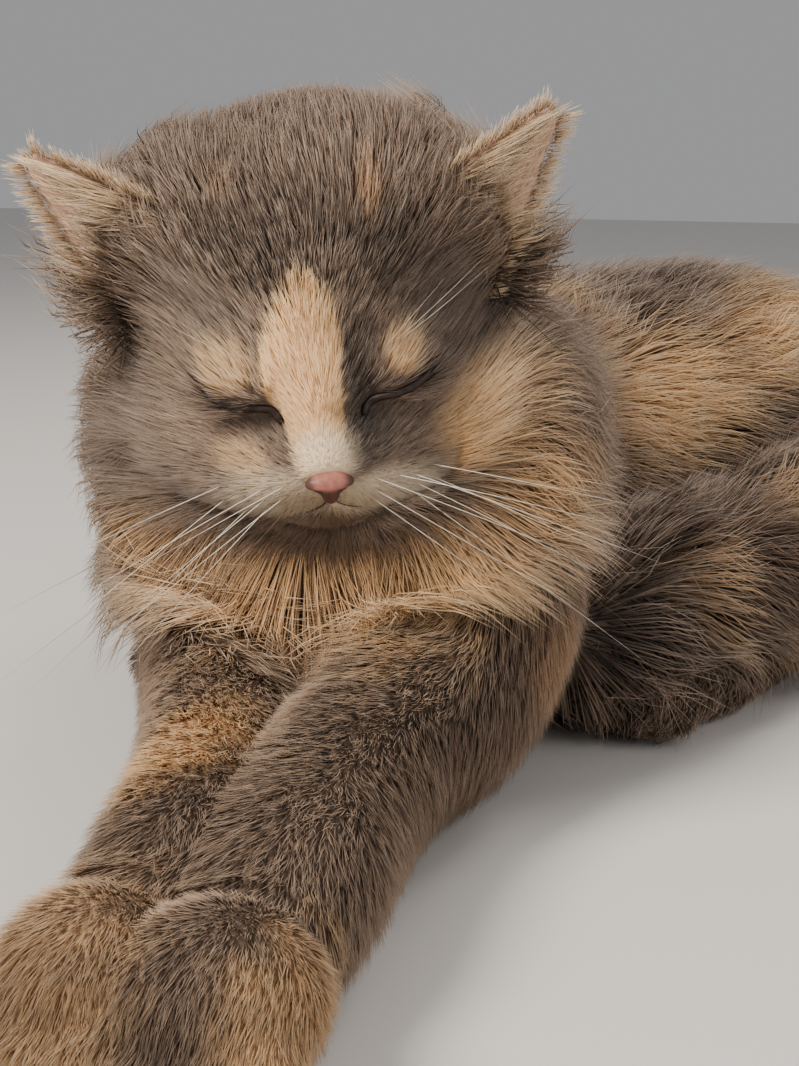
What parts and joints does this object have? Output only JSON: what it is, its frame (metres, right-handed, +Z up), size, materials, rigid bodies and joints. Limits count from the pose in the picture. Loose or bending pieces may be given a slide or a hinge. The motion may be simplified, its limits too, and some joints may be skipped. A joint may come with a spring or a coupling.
{
  "type": "model of a long-haired cat asleep",
  "caption": "Still life-size model of a blue-cream long-haired cat lying on its belly, eyes closed, forelegs stretched out in front, tail curled along its side.",
  "frame": {"origin": "on the floor, under the middle of the model's bounding box", "axes": "+Y from the forepaws towards the rump, +X towards the cat's own left, +Z up"},
  "size_m": [0.3618, 0.5947, 0.2093],
  "materials": {
    "long_fur": "long soft grey coat with cream patches and paler tips",
    "face_fur": "short dense grey fur with a cream blaze",
    "ear_fur": "thin grey fur outside, cream hair over pink skin inside",
    "paw_fur": "short plush grey and cream fur",
    "nose_leather": "bare pink skin, slightly moist, with a dark rim"
  },
  "bodies": {
    "root": {"head": "face_fur", "nose": "nose_leather", "eyelids_left": "face_fur", "eyelids_right": "face_fur", "ear_left": "ear_fur", "ear_right": "ear_fur", "neck": "long_fur", "torso": "long_fur", "foreleg_left": "long_fur", "foreleg_right": "long_fur", "forepaw_left": "paw_fur", "forepaw_right": "paw_fur", "hindleg_left": "long_fur", "hindleg_right": "long_fur", "hindpaw_left": "paw_fur", "hindpaw_right": "paw_fur", "tail_base": "long_fur", "tail_middle": "long_fur", "tail_tip": "long_fur"}
  },
  "joints": []
}
